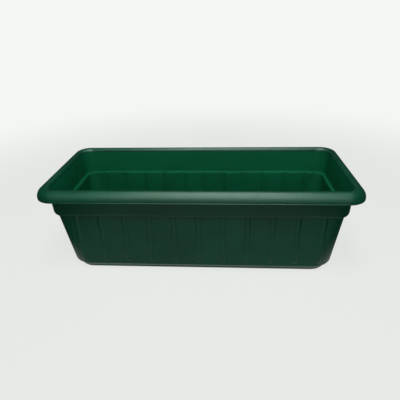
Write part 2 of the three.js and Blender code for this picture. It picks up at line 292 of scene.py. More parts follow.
# %% [markdown]
# ## The inside
# Inside, the wall comes down from the mouth, makes a narrow ledge behind the outer step and runs down the
# leaning panel and the sloped base to the floor. It follows the outside at one wall's thickness, because a
# moulding with thick and thin places sinks and warps as it cools. A solidify modifier could offset the
# outside, but the rim is hollow below and plain above, so the inside has stations of its own.

# %% Stations of the inside
LEDGE_FILLET_RUN = 1.9
LEDGE_FILLET_RISE = 2.4
LEDGE_STEPS = 10
FLOOR_FILLET = 4.0
FLOOR_FILLET_STEPS = 8
FLOOR_RIM = 1.5  # the loft's last strip, level with the floor
INNER_EDGE_STEPS = 6
INNER_BAND_ROWS = [137.6, 130, 122, 114, 108]
ledge_z = PANEL_TOP_Z + WALL
inner_band_low = (BAND_LOW_INSET + WALL, BAND_RADIUS - BAND_DRAFT - WALL, BAND_LOW_Z)
ledge_fillet_z = ledge_z + LEDGE_FILLET_RISE
ledge_back = (inner_band_low[0] + LEDGE_FILLET_RUN, inner_band_low[1] - LEDGE_FILLET_RUN, ledge_z)
inner_inset = PANEL_TOP_INSET + WALL
inner_radius = PANEL_TOP_RADIUS - WALL
ledge_front = (inner_inset - LEDGE_ROUNDING, inner_radius + LEDGE_ROUNDING, ledge_z)
inner_panel_top = (inner_inset, inner_radius, ledge_z - LEDGE_ROUNDING)
inner_panel_low = base_station(WALL, PANEL_LOW_Z)
slope_meets_floor = base_inset(FLOOR_TOP - WALL / math.sin(BASE_ANGLE))
fillet_run = FLOOR_FILLET * math.tan((math.pi / 2 - BASE_ANGLE) / 2)
inner_edge_radius = BASE_EDGE_RADIUS - WALL
inner_base = base_arc(BASE_EDGE_RADIUS, PANEL_LOW_Z, inner_edge_radius, 0, BASE_ANGLE, INNER_EDGE_STEPS)
fillet_middle = (slope_meets_floor + fillet_run, FLOOR_TOP + FLOOR_FILLET)
inner_base += base_arc(*fillet_middle, FLOOR_FILLET, BASE_ANGLE, math.pi / 2, FLOOR_FILLET_STEPS)
inner_base.append(base_station(slope_meets_floor + fillet_run + FLOOR_RIM, FLOOR_TOP))

inside = straight(mouth, inner_band_low, [*INNER_BAND_ROWS, ledge_fillet_z])
inside += quarter_turn(inside[-1], ledge_back, LEDGE_STEPS, "upright")
inside += [ledge_front, *quarter_turn(ledge_front, inner_panel_top, LEDGE_STEPS, "level")]
inner_rows = panel_heights(PANEL_LOW_Z, inner_panel_top[2])
inside += straight(inner_panel_top, inner_panel_low, reversed(inner_rows))
inside += inner_base
stations = outside + inside
print("Stations in all:", len(stations))

# %% [markdown]
# ## Ribs and channels
# Each long wall has eleven upright ribs. A moulder keeps the wall one thickness, so each rib outside has a
# shallow channel behind it inside, and the channel cuts through the ledge. They could be cut with booleans,
# but a height over the wall is smoother: a rib pushes the outer skin out, and its channel lets the inner
# skin out too. The sizes are the CAD source's to a few tenths of a millimetre, because here the ribs and
# channels are rounded and there they are faceted.

# %% Ribs and channels as heights over the wall
RIBS_PER_SIDE = 11
RIB_PITCH = 35.9
RIB_HALF_WIDTH = 3.7
RIB_HEIGHT = 2.0
RIB_ROOT_START = 3.35  # from a rib's middle line to where its root fillet starts
RIB_ROOT_END = 4.1
CHANNEL_HALF_MOUTH = 3.5
CHANNEL_HALF_FLOOR = 1.9
CHANNEL_DEPTH = 1.8
CHANNEL_TOP_Z = ledge_z + CHANNEL_DEPTH


def from_rib(x):
    """Distance to the nearest rib's middle line."""
    last = (RIBS_PER_SIDE - 1) / 2
    nearest = max(-last, min(last, round(x / RIB_PITCH)))
    return abs(x - nearest * RIB_PITCH)


def rib_height(x):
    """Half an ellipse, eased into the wall by a small root fillet."""
    away = from_rib(x)
    if away >= RIB_ROOT_END:
        return 0.0
    inner = min(away, RIB_ROOT_START) / RIB_HALF_WIDTH
    height = RIB_HEIGHT * math.sqrt(1 - inner**2)
    if away <= RIB_ROOT_START:
        return height
    span = RIB_ROOT_END - RIB_ROOT_START
    slope = -height * inner / (RIB_HALF_WIDTH * (1 - inner**2))
    t = (away - RIB_ROOT_START) / span
    return height * (2 * t**3 - 3 * t**2 + 1) + slope * span * (t**3 - 2 * t**2 + t)


def channel_depth(x):
    span = CHANNEL_HALF_MOUTH - CHANNEL_HALF_FLOOR
    t = max(0.0, min(1.0, (CHANNEL_HALF_MOUTH - from_rib(x)) / span))
    return CHANNEL_DEPTH * t * t * (3 - 2 * t)


def rib_reach(z):
    """A rib's share of its full height: it rounds off to nothing at its foot."""
    t = max(0.0, min(1.0, (z - RIB_FOOT_Z) / RIB_FOOT_LENGTH))
    return math.sqrt(1 - (1 - t) ** 2)


print("Rib heights in mm:", [round(rib_height(x), 2) for x in (0, 2, RIB_ROOT_START, RIB_ROOT_END)])

# %% [markdown]
# ## Columns
# Every station gets the same number of points, so that the skin between two stations is a strip of quads.
# Points spread evenly round each station would wander across the ribs. So on the long walls they stand at
# fixed places along X, close together at each rib, and on the end walls at fixed places along Y. Round the
# corners between them they are spread by length.

# %% Places of the columns in one quarter of the outline
COLUMNS_LIMIT = 187.5  # along X, where the corner's own columns start
END_LIMIT = 38.5  # along Y, where they end
CORNER_COLUMNS = 44
END_PLACES = [0.0, 6.0, 13.0, 20.0]
NOTCH_COLUMN = 2  # from a notch's middle to the columns beside it
RIB_OFFSETS = [0, 0.7, 1.4, 1.9, 2.3, 2.7, 3.1, 3.35, 3.55, 3.75, 3.95, 4.2, 4.8]
NOTCH_WIDTH = 9.0
NOTCH_HEIGHT = 2.0
NOTCH_SPREAD = 64.0
NOTCH_SIDE = 0.4  # how wide a notch's slanting side is


def wall_columns():
    """Places along X on a long wall, from its middle to where the corner's own columns start."""
    places = set()
    for rib in range((RIBS_PER_SIDE + 1) // 2):
        middle = rib * RIB_PITCH
        places.update(round(middle + offset, 3) for offset in RIB_OFFSETS)
        places.update(round(middle - offset, 3) for offset in RIB_OFFSETS)
        places.add(round(middle + RIB_PITCH / 3, 3))
        places.add(round(middle + 2 * RIB_PITCH / 3, 3))
    return sorted(x for x in places if 0 <= x < COLUMNS_LIMIT) + [COLUMNS_LIMIT]


def end_columns():
    """Places along Y on an end wall, from the corner to the middle, close together beside a foot notch."""
    middle = NOTCH_SPREAD / 2
    places = {*END_PLACES, middle - NOTCH_COLUMN, middle, middle + NOTCH_COLUMN}
    for edge in (middle - NOTCH_WIDTH / 2, middle + NOTCH_WIDTH / 2):
        places.update(round(edge + offset, 3) for offset in (-NOTCH_SIDE / 2, 0, NOTCH_SIDE / 2))
    return sorted(places, reverse=True)


def corner_points(reach_x, reach_y, radius):
    """From the last column of the long wall round the corner to END_LIMIT on the end wall, by length."""
    first_angle = math.acos(max(0.0, COLUMNS_LIMIT - reach_x) / radius)
    flat_x = max(0.0, reach_x - COLUMNS_LIMIT)
    arc = radius * first_angle
    path = flat_x + arc + reach_y - END_LIMIT
    points = []
    for step in range(1, CORNER_COLUMNS + 1):
        gone = path * step / CORNER_COLUMNS
        angle = first_angle - min(arc, max(0.0, gone - flat_x)) / radius
        x = reach_x + radius * math.cos(angle) - max(0.0, flat_x - gone)
        y = reach_y + radius * math.sin(angle) - max(0.0, gone - flat_x - arc)
        points.append((x, y))
    return points


def quarter_outline(inset, radius):
    """Points of a rounded rectangle in the quarter where X and Y are positive."""
    reach_x, reach_y = LENGTH / 2 - inset - radius, WIDTH / 2 - inset - radius
    points = []
    for x in wall_columns():
        beyond = max(0.0, x - reach_x)
        points.append((x, reach_y + math.sqrt(radius**2 - beyond**2)))
    points += corner_points(reach_x, reach_y, radius)
    return points + [(LENGTH / 2 - inset, y) for y in end_columns()]


print("Columns in a quarter:", len(quarter_outline(0, RIM_CORNER_RADIUS)))

# %% From a station to a ring of points
def wall_y(x, z, skin_in):
    """How far out the long wall's skin lies at a place, where skin_in is 0 outside and WALL inside."""
    down = (PANEL_TOP_Z - z) / (PANEL_TOP_Z - PANEL_LOW_Z)
    inset = PANEL_TOP_INSET + PANEL_TAPER * down + skin_in
    radius = PANEL_TOP_RADIUS + (BASE_CORNER_RADIUS - PANEL_TOP_RADIUS) * down - skin_in
    into_corner = max(0.0, x - (LENGTH / 2 - inset - radius))
    return WIDTH / 2 - inset - radius + math.sqrt(radius**2 - into_corner**2)


def pushed_out(x, y, z, is_outside):
    """Moves a point of a long wall out to its rib or channel, where there is one."""
    if x > COLUMNS_LIMIT or z < RIB_FOOT_Z:
        return y
    if is_outside and z <= PANEL_TOP_Z + EASED_EDGE and rib_height(x) > 0:
        return max(y, wall_y(x, z, 0) + rib_height(x) * rib_reach(z))
    if not is_outside and z <= CHANNEL_TOP_Z and channel_depth(x) > 0:
        return max(y, wall_y(x, z, WALL) + channel_depth(x) * rib_reach(z))
    return y


def lifted(x, y, z):
    """The foot ring's sole rises to the top of a notch, which lets water out from under the floor."""
    aside = abs(y - NOTCH_SPREAD / 2) - NOTCH_WIDTH / 2
    if x < COLUMNS_LIMIT or aside >= NOTCH_SIDE / 2 or z >= NOTCH_HEIGHT:
        return z
    share = min(1.0, 0.5 - aside / NOTCH_SIDE)
    return z + (NOTCH_HEIGHT - z) * share


def ring(station, is_outside):
    inset, radius, z = station
    quarter = []
    for x, y in quarter_outline(inset, radius):
        quarter.append((x, pushed_out(x, y, z, is_outside), lifted(x, y, z)))
    front_right = [(x, -y, z) for x, y, z in reversed(quarter[:-1])]
    front_left = [(-x, -y, z) for x, y, z in quarter[1:]]
    back_left = [(-x, y, z) for x, y, z in reversed(quarter[1:-1])]
    return quarter + front_right + front_left + back_left


print("Points in a ring:", len(ring(equator, True)))

# %% [markdown]
# ## The floor, its drain holes and the marks of moulding
# The two flat faces of the floor need holes in them, which a loft can't give. Each face is filled between
# its outer ring and its round features by a polygon fill. A feature is a stack of circles: a drain hole
# joins both faces, and a gate mark or an ejector-pin mark closes itself. Such shallow marks are common on
# moulded parts: the pins push the part off the core, and the gate is where the plastic came in. None of
# these features can be seen in the photograph, so their number and places are guesses.

# %% Round features of the floor
HOLE_RADIUS = 6.5
HOLE_EASE = 0.4
HOLE_PITCH_LONG = 135.0
HOLE_PITCH_WIDE = 74.0
FACE_LAND = 1.2  # the ring of flat face round a hole's eased edge
CIRCLE_POINTS = 48
PIN_RADIUS = 4.0
PIN_STEP = 0.25
PIN_SIDE = 0.15  # how wide the slanting side of a pin's mark is
PIN_CENTRE_RADIUS = 0.6
PIN_PLACES_NEAR, PIN_PLACES_FAR = (HOLE_PITCH_LONG / 2, 45.0), (178.0, 24.0)
GATE_RADIUS = 7.0
GATE_DEPTH = 0.6
SIGNS = [(x, y) for x in (-1, 1) for y in (-1, 1)]
hole_centres = [
    ((column - 1) * HOLE_PITCH_LONG, (row - 0.5) * HOLE_PITCH_WIDE)
    for column in range(3)
    for row in range(2)
]
pin_centres = [(x * long, y * wide) for long, wide in (PIN_PLACES_NEAR, PIN_PLACES_FAR) for x, y in SIGNS]


def circle(centre, radius, z):
    """Points round a circle, clockwise seen from above, as every ring here is."""
    points = []
    for step in range(CIRCLE_POINTS):
        angle = -2 * math.pi * step / CIRCLE_POINTS
        points.append((centre[0] + radius * math.cos(angle), centre[1] + radius * math.sin(angle), z))
    return points


def eased(radius, z, drop):
    """[radius, z] pairs round an eased edge, from the flat face into a hole."""
    quarter = [math.pi / 2 * step / EDGE_STEPS for step in range(EDGE_STEPS + 1)]
    return [(radius + HOLE_EASE * (1 - math.sin(a)), z + drop * (1 - math.cos(a))) for a in quarter]


top_edge = [(HOLE_RADIUS + FACE_LAND, FLOOR_TOP), *eased(HOLE_RADIUS, FLOOR_TOP, -HOLE_EASE)]
low_edge = [(HOLE_RADIUS + FACE_LAND, FOOT_HEIGHT), *eased(HOLE_RADIUS, FOOT_HEIGHT, HOLE_EASE)]
hole_profile = top_edge + low_edge[::-1]
pin_profile = [
    (PIN_RADIUS, FLOOR_TOP),
    (PIN_RADIUS - PIN_SIDE, FLOOR_TOP - PIN_STEP),
    (PIN_CENTRE_RADIUS, FLOOR_TOP - PIN_STEP),
]
gate_profile = [
    (1.2, FOOT_HEIGHT - 0.1),  # the stub where the sprue was cut off
    (1.9, FOOT_HEIGHT + 0.1),
    (2.2, FOOT_HEIGHT + GATE_DEPTH),  # the dimple round it
    (GATE_RADIUS - 0.8, FOOT_HEIGHT + GATE_DEPTH),
    (GATE_RADIUS, FOOT_HEIGHT),
]
print("Drain holes:", len(hole_centres), "ejector-pin marks:", len(pin_centres))

# %% [markdown]
# ## Building the trough's mesh
# The mesh is kept as a plain list of points and faces until the end, which makes it easy to join the loft,
# the fills and the round features at shared points, so that the trough is one closed skin.

# %% A skin that grows ring by ring
SHARP_ANGLE = math.radians(38)
SLIVER = 1e-14  # square metres, under which a filled triangle counts as having no area and is left out


class Skin:
    def __init__(self):
        self.points = []
        self.faces = []

    def add_ring(self, ring_points):
        first = len(self.points)
        self.points += [Vector(point) * MM for point in ring_points]
        return list(range(first, len(self.points)))

    def strip(self, low, high):
        """Quads between two closed rings. With clockwise rings they face out on the way up."""
        for here in range(len(low)):
            after = (here + 1) % len(low)
            self.faces.append((low[here], high[here], high[after], low[after]))

    def cap(self, rim, facing):
        """One flat face over a small ring, facing up for 1 and down for -1."""
        self.faces.append(tuple(reversed(rim) if facing > 0 else rim))

    def fill(self, outer, holes, facing):
        """Triangles between an outer ring and round features, which all lie in one level plane."""
        order = outer + [point for hole in holes for point in hole]
        loops = [[self.points[point] for point in loop] for loop in [outer, *holes]]
        for corners in tessellate_polygon(loops):
            a, b, c = (order[corner] for corner in corners)
            across = (self.points[b] - self.points[a]).cross(self.points[c] - self.points[a]).z
            if abs(across) > SLIVER:
                self.faces.append((a, b, c) if across * facing > 0 else (a, c, b))

    def turned(self, centre, profile):
        """Circles stacked through a profile of [radius, z], joined by strips."""
        circles = [self.add_ring(circle(centre, radius, z)) for radius, z in profile]
        for low, high in zip(circles, circles[1:]):
            self.strip(low, high)
        return circles

    def to_object(self, name, material):
        mesh = bpy.data.meshes.new(name)
        mesh.from_pydata(self.points, [], self.faces)
        mesh.shade_smooth()
        mesh.set_sharp_from_angle(angle=SHARP_ANGLE)
        mesh.materials.append(material)
        thing = bpy.data.objects.new(name, mesh)
        bpy.context.scene.collection.objects.link(thing)
        return thing


print("Edges over", round(math.degrees(SHARP_ANGLE)), "degrees stay sharp")

# %% Loft the trough
trough_skin = Skin()
rings = []
for number, place in enumerate(stations):
    rings.append(trough_skin.add_ring(ring(place, number < len(outside))))
for low_ring, high_ring in zip(rings, rings[1:]):
    trough_skin.strip(low_ring, high_ring)

top_loops, low_loops = [], []
for hole_centre in hole_centres:
    hole_circles = trough_skin.turned(hole_centre, hole_profile)
    top_loops.append(hole_circles[0])
    low_loops.append(hole_circles[-1])
for pin_centre in pin_centres:
    pin_circles = trough_skin.turned(pin_centre, pin_profile)
    trough_skin.cap(pin_circles[-1], 1)
    top_loops.append(pin_circles[0])
gate_circles = trough_skin.turned((0, 0), gate_profile)
trough_skin.cap(gate_circles[0], -1)
low_loops.append(gate_circles[-1])
trough_skin.fill(rings[-1], top_loops, 1)
trough_skin.fill(rings[0], low_loops, -1)
print("Trough points and faces:", len(trough_skin.points), len(trough_skin.faces))

# %% [markdown]
# ## The drain plugs
# Each plug is a small polypropylene moulding: a flat round head, a hollow shank that hangs in the drain
# hole, and an upright finger bar to pull it by. The round part is a profile turned about its axis. The bar
# is lofted through rounded rectangles that flare at the foot, and a boolean welds the two into one skin.

# %% Sizes of a plug, in millimetres
PLUG_CLEARANCE = 0.3
PLUG_TAPER = 0.35
PLUG_HEAD_RADIUS = HOLE_RADIUS + 4.2
PLUG_HEAD_THICKNESS = 1.8
PLUG_HEAD_ROUNDING = 0.7
PLUG_WALL = 1.5
PLUG_GROUND_CLEARANCE = 1.0
GRIP_LENGTH = 13.0
GRIP_THICKNESS = 2.6
GRIP_HEIGHT = 6.0
GRIP_EDGE = 0.55
GRIP_FLARE = 0.7
GRIP_ROUNDNESS = 0.6  # 1 is an ellipse, and less has squarer shoulders
FLARE_STEPS = 5
GRIP_STEPS = 15
CORNER_STEPS = 6
DISH_DEPTH = 0.18  # of the groove turned into the head near its edge
AXIS_RADIUS = 0.5  # of the small faces that close the turned part at its axis
head_top = FLOOR_TOP + PLUG_HEAD_THICKNESS
print("Plug from", PLUG_GROUND_CLEARANCE, "to", head_top + GRIP_HEIGHT, "mm above the ground")


# %% Turn the head and the shank
def rounding(centre_radius, centre_z, size, start_degrees, end_degrees, steps=6):
    """[radius, z] pairs on an arc of a turned profile."""
    pairs = []
    for step in range(steps + 1):
        angle = math.radians(start_degrees + (end_degrees - start_degrees) * step / steps)
        pairs.append((centre_radius + size * math.cos(angle), centre_z + size * math.sin(angle)))
    return pairs


def plug_profile():
    shank = HOLE_RADIUS - PLUG_CLEARANCE
    tip = shank - PLUG_TAPER
    tip_round = PLUG_WALL / 2
    tip_z = PLUG_GROUND_CLEARANCE + tip_round
    bore_top = FLOOR_TOP + 0.1
    corner = PLUG_HEAD_RADIUS - PLUG_HEAD_ROUNDING
    return [
        (AXIS_RADIUS, bore_top),
        (shank - PLUG_WALL - 0.4, bore_top),  # the bore's eased corner
        (shank - PLUG_WALL, bore_top - 0.5),
        *rounding(tip - tip_round, tip_z, tip_round, 180, 360),
        (shank, FLOOR_TOP - 0.4),  # the shank's eased root
        (shank + 0.25, FLOOR_TOP),
        (PLUG_HEAD_RADIUS - 0.3, FLOOR_TOP),  # the head's eased lower edge
        (PLUG_HEAD_RADIUS, FLOOR_TOP + 0.3),
        *rounding(corner, head_top - PLUG_HEAD_ROUNDING, PLUG_HEAD_ROUNDING, 0, 90),
        (corner - 1.0, head_top),  # the groove
        (corner - 1.3, head_top - DISH_DEPTH),
        (corner - 1.7, head_top - DISH_DEPTH),
        (corner - 2.0, head_top),
        (AXIS_RADIUS, head_top),
    ]


def turned_plug():
    skin = Skin()
    circles = skin.turned((0, 0), plug_profile())
    skin.cap(circles[0], -1)
    skin.cap(circles[-1], 1)
    return skin


print("Plug profile points:", len(plug_profile()))

# %% Loft the finger bar
def bar_section(half_length, half_thickness, corner, z):
    """A level rounded rectangle about the plug's axis, clockwise seen from above."""
    points = []
    for sign_x, sign_y, start in ((1, 1, 90), (1, -1, 0), (-1, -1, 270), (-1, 1, 180)):
        for step in range(CORNER_STEPS + 1):
            angle = math.radians(start - 90 * step / CORNER_STEPS)
            x = sign_x * (half_length - corner) + corner * math.cos(angle)
            y = sign_y * (half_thickness - corner) + corner * math.sin(angle)
            points.append((x, y, z))
    return points


def finger_bar():
    """Up from inside the head: a flared foot, straight sides, then a crowned top."""
    skin = Skin()
    half_length, half_thickness = GRIP_LENGTH / 2, GRIP_THICKNESS / 2
    levels = [(half_length + GRIP_FLARE, half_thickness + GRIP_FLARE, head_top - 0.4)]
    for step in range(FLARE_STEPS + 1):
        angle = step / FLARE_STEPS * math.pi / 2
        flare = GRIP_FLARE * (1 - math.sin(angle))
        flare_z = head_top + GRIP_FLARE * (1 - math.cos(angle))
        levels.append((half_length + flare, half_thickness + flare, flare_z))
    crown_height = GRIP_HEIGHT / 2
    for step in range(1, GRIP_STEPS):
        angle = step / GRIP_STEPS * math.pi / 2
        along = half_length * math.cos(angle) ** GRIP_ROUNDNESS
        thick = half_thickness - GRIP_EDGE * (1 - math.cos(angle))
        levels.append((along, thick, head_top + crown_height * (1 + math.sin(angle))))
    rings_up = []
    for along, thick, z in levels:
        corner = min(GRIP_EDGE * 1.6, thick * 0.95, along * 0.95)
        rings_up.append(skin.add_ring(bar_section(along, thick, corner, z)))
    for low_level, high_level in zip(rings_up, rings_up[1:]):
        skin.strip(low_level, high_level)
    skin.cap(rings_up[0], -1)
    skin.cap(rings_up[-1], 1)
    return skin


print("Finger bar faces:", len(finger_bar().faces))

# %% [markdown]
# ## The material: injection-moulded polypropylene
# Planters like this are commonly moulded from polypropylene, coloured through with a dark green masterbatch.
# The mould's steel is polished, but not to a mirror, so the skin comes out semi-gloss: a clear but blurred
# highlight on a deep colour. Three faint things stop it from looking like paint: cloudy pigment where the
# melt flowed, patches that are a little duller than the rest, and an orange-peel in the surface. An image
# would show its pixels in a close view, so all three are noise in the object's own space.
#
# In the photograph the inside is nearly matt, as a core that is only blasted would leave it, and a purer,
# brighter green than the outside. Daylight through a thin wall may be why. Light scattered in the wall is not
# drawn: at 2 mm it would hardly show. So the brighter green is painted light: the core side has a colour of
# its own, matched to the photograph, whose green is about 1.7 times the outside's in linear light, whatever
# lights it.

# %% Helpers for materials
def linear(hex_colour):
    """An sRGB hex colour as linear RGBA."""
    channels = [int(hex_colour[place:place + 2], 16) / 255 for place in (1, 3, 5)]
    return [c / 12.92 if c <= 0.04045 else ((c + 0.055) / 1.055) ** 2.4 for c in channels] + [1.0]


def per_metre(size_mm):
    """The scale of a noise whose features are about this many millimetres across."""
    return 1000.0 / size_mm


def add_node(tree, kind, settings=None, inputs=None):
    """Adds a node, sets its properties, and sets each input to a value or links it from another output."""
    node = tree.nodes.new("ShaderNode" + kind)
    for name, value in (settings or {}).items():
        setattr(node, name, value)
    for name, value in (inputs or {}).items():
        if isinstance(value, bpy.types.NodeSocket):
            tree.links.new(value, node.inputs[name])
        else:
            node.inputs[name].default_value = value
    return node


print("A 60 mm noise has scale", round(per_metre(60), 1))

# %% [markdown]
# ### One function for the three finishes
# Polypropylene's index of refraction is about 1.49. The colours and roughness of the outside and of the core
# side, and the core side's specular level, were matched to the photograph. The plugs aren't in sight there,
# so their satin finish is a guess. So are the sizes of the clouds, the patches and the orange-peel: a pixel
# is about 1.5 mm at the object, so finer waves than the 3 to 5 mm drawn here could hardly show.

# %% Polypropylene
MIX_COLOUR = {"data_type": "RGBA"}
FACTOR, MIX_A, MIX_B, MIX_RESULT = 0, 6, 7, 2
CLOUD_MM = 55
PATCH_MM = 38
POLYPROPYLENE_IOR = 1.49


def moulded_polypropylene(name, colour, cloud_colour, gloss, peel_mm, peel_depth):
    """gloss is the lowest and highest roughness. The orange-peel's size and depth are in millimetres."""
    material = bpy.data.materials.new(name)
    material.use_nodes = True
    tree = material.node_tree
    shader = tree.nodes["Principled BSDF"]
    place = add_node(tree, "TexCoord").outputs["Object"]

    # The pigment clouds are drawn out along X, the way that the melt ran from the gate.
    stretched = add_node(tree, "Mapping", {}, {"Vector": place, "Scale": (0.45, 1.0, 1.0)})
    clouds = add_node(tree, "TexNoise", {}, {
        "Vector": stretched.outputs[0],
        "Scale": per_metre(CLOUD_MM),
        "Detail": 3.0,
        "Roughness": 0.55,
        "Distortion": 0.6,
    })
    soft = add_node(tree, "MapRange", {"interpolation_type": "SMOOTHSTEP"}, {
        "Value": clouds.outputs[0], "From Min": 0.35, "From Max": 0.7,
    })
    pigment = add_node(tree, "Mix", MIX_COLOUR, {
        FACTOR: soft.outputs[0], MIX_A: linear(colour), MIX_B: linear(cloud_colour),
    })
    tree.links.new(pigment.outputs[MIX_RESULT], shader.inputs["Base Color"])

    # Dull patches, about PATCH_MM across and broken up, such as handling might leave.
    patches = add_node(tree, "TexNoise", {}, {
        "Vector": place, "Scale": per_metre(PATCH_MM), "Detail": 5.0, "Roughness": 0.6,
    })
    dullness = add_node(tree, "MapRange", {}, {
        "Value": patches.outputs[0], "From Min": 0.3, "From Max": 0.7, "To Min": gloss[0], "To Max": gloss[1],
    })
    tree.links.new(dullness.outputs[0], shader.inputs["Roughness"])

    peel = add_node(tree, "TexNoise", {}, {"Vector": place, "Scale": per_metre(peel_mm), "Detail": 2.0})
    bump = add_node(tree, "Bump", {}, {
        "Strength": 1.0, "Distance": peel_depth * MM, "Height": peel.outputs[0],
    })
    tree.links.new(bump.outputs[0], shader.inputs["Normal"])
    shader.inputs["IOR"].default_value = POLYPROPYLENE_IOR
    return material


# The core side's green is painted light: the same plastic, drawn brighter inside so that the inside looks
# lit.
core_painted_light_plastic = moulded_polypropylene(
    "injection_moulded_polypropylene_core_side_painted_light", "#026C45", "#04754D", (0.65, 0.75), 5.0, 0.010,
)
core_shader = core_painted_light_plastic.node_tree.nodes["Principled BSDF"]
core_shader.inputs["Specular IOR Level"].default_value = 0.1  # lowered for the little sheen inside
trough_plastic = moulded_polypropylene(
    "injection_moulded_polypropylene_green", "#025239", "#045C41", (0.33, 0.44), 5.0, 0.010,
)
plug_plastic = moulded_polypropylene(
    "injection_moulded_polypropylene_satin", "#0A5A45", "#0D6450", (0.44, 0.55), 3.0, 0.008,
)
print("Materials:", trough_plastic.name, core_painted_light_plastic.name, plug_plastic.name)

# %% [markdown]
# ## Setting the pieces in place
# The trough's skin stands for the CAD trough and rides on its body. Its faces inside, above the foot, get
# the core side's finish as a second material, because both finishes are on one moulding; its brighter green
# is painted light. One plug is welded once and copied to each hole. Every copy rides on its own body, so each
# can be pulled out by itself.

# %% Make the trough
trough_moulding = trough_skin.to_object("trough_moulding", trough_plastic)
trough_mesh = trough_moulding.data
trough_mesh.materials.append(core_painted_light_plastic)
first_core_point = rings[len(outside)][0]
mid_floor = (FOOT_HEIGHT + 1) * MM
for face in trough_mesh.polygons:
    on_core = min(face.vertices) >= first_core_point
    above_foot = min(trough_mesh.vertices[number].co.z for number in face.vertices) > mid_floor
    face.material_index = int(on_core and above_foot)
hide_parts("trough")
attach(trough_moulding, "trough")
print("Trough size in mm:", [round(side / MM, 2) for side in trough_moulding.dimensions])

# %% Weld and place the plugs
plug_head = turned_plug().to_object("plug_head", plug_plastic)
plug_bar = finger_bar().to_object("plug_bar", plug_plastic)
weld = plug_head.modifiers.new("weld", "BOOLEAN")
weld.operation = "UNION"
weld.solver = "EXACT"
weld.object = plug_bar
welded = bpy.data.meshes.new_from_object(plug_head.evaluated_get(bpy.context.evaluated_depsgraph_get()))
bpy.data.objects.remove(plug_head)
bpy.data.objects.remove(plug_bar)
for number, (x, y) in enumerate(hole_centres, start=1):
    plug_mesh = welded.copy()
    plug_mesh.transform(Matrix.Translation((x * MM, y * MM, 0)))
    plug_mesh.set_sharp_from_angle(angle=SHARP_ANGLE)
    drain_plug = bpy.data.objects.new(f"drain_plug_moulding_{number}", plug_mesh)
    bpy.context.scene.collection.objects.link(drain_plug)
    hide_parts(f"drain_plug_{number}")
    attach(drain_plug, f"plug_{number}")
print("Plug faces:", len(welded.polygons))

# %% [markdown]
# ## The camera
# The photograph was solved as a pinhole view of the trough, which gave the lens and the camera's place and
# turns. It looks down at the front wall from a little to the right of the middle.

# %% Place the camera
SENSOR_MM = 36.0
FRAME_PIXELS = 400
FOCAL_PIXELS = 375.2533
CAMERA_MM = (39.1, -545.0, 364.1)
CAMERA_TILT, CAMERA_ROLL, CAMERA_TURN = -0.4721, 0.0286, 0.0749

turn = (
    Matrix.Rotation(CAMERA_TURN, 3, "Z")
    @ Matrix.Rotation(CAMERA_TILT, 3, "X")
    @ Matrix.Rotation(CAMERA_ROLL, 3, "Y")
)
right, forward, up = turn.col[0], turn.col[1], turn.col[2]
camera_data = bpy.data.cameras.new("camera")
camera_data.sensor_width = SENSOR_MM
camera_data.lens = FOCAL_PIXELS / FRAME_PIXELS * SENSOR_MM
camera = bpy.data.objects.new("camera", camera_data)
camera.matrix_world = Matrix((right, up, -forward)).transposed().to_4x4()
camera.location = Vector(CAMERA_MM) * MM
bpy.context.scene.collection.objects.link(camera)
bpy.context.scene.camera = camera
print("Lens in mm:", round(camera_data.lens, 2))

# %% [markdown]
# ## The floor and what it is mirrored as
# A pale sweep would be lit unevenly by the soft boxes, and its far edge would turn grey. So the camera sees
# a floor that is mostly plain white and keeps a soft shadow near the planter. Glossy plastic gives away what
# stands around it. The highlights in the photograph are matched by a grey table in front, a bright strip of
# it under the sloped base, and a dim room beside and behind. So reflections see the floor in those tones.

# %% What reflections see of the floor
WHITE, TABLE_GREY, TABLE_BRIGHT, DIM_ROOM = "#F4F6F4", "#8C908D", "#D8DCD9", "#303332"
STRIP_EDGES = (0.07, 0.09)  # metres from the long middle line, where the bright strip ends
TABLE_END_EDGES = (0.19, 0.26)  # metres along X, where the table ends
TABLE_BACK_EDGES = (0.1, 0.2)  # metres behind the middle line, where it ends


def fade(tree, value, edges):
    """0 before the first edge and 1 after the second."""
    return add_node(tree, "MapRange", {}, {"Value": value, "From Min": edges[0], "From Max": edges[1]})


def mirrored_table(tree, place):
    """A bright strip in a grey table in a dim room, seen from above."""
    axes = add_node(tree, "SeparateXYZ", {}, {"Vector": place})
    across = add_node(tree, "Math", {"operation": "ABSOLUTE"}, {0: axes.outputs["Y"]})
    along = add_node(tree, "Math", {"operation": "ABSOLUTE"}, {0: axes.outputs["X"]})
    off_strip = fade(tree, across.outputs[0], STRIP_EDGES)
    beside = fade(tree, along.outputs[0], TABLE_END_EDGES)
    behind = fade(tree, axes.outputs["Y"], TABLE_BACK_EDGES)
    off_table = add_node(tree, "Math", {"operation": "MAXIMUM"}, {0: beside.outputs[0], 1: behind.outputs[0]})
    table = add_node(tree, "Mix", MIX_COLOUR, {
        FACTOR: off_strip.outputs[0], MIX_A: linear(TABLE_BRIGHT), MIX_B: linear(TABLE_GREY),
    })
    tones = add_node(tree, "Mix", MIX_COLOUR, {
        FACTOR: off_table.outputs[0], MIX_A: table.outputs[MIX_RESULT], MIX_B: linear(DIM_ROOM),
    })
    return add_node(tree, "Emission", {}, {"Color": tones.outputs[MIX_RESULT], "Strength": 1.0})


print("The mirrored table has faded out", TABLE_END_EDGES[1], "m to each side")

# %% What the camera sees of the floor
FLOOR_HALF = 6.0
SHADOW_EDGES = (0.45, 1.1)  # metres from the planter's middle, over which its shadow fades out
WHITE_SHARE = 0.8  # how much of the floor near the planter is plain white
BOARD_LIGHT, BOARD_DARK = "#EDEFED", "#E9ECE9"
BOARD_BOUNCE = "#606462"  # for all other rays, so that the floor throws little light up at the walls


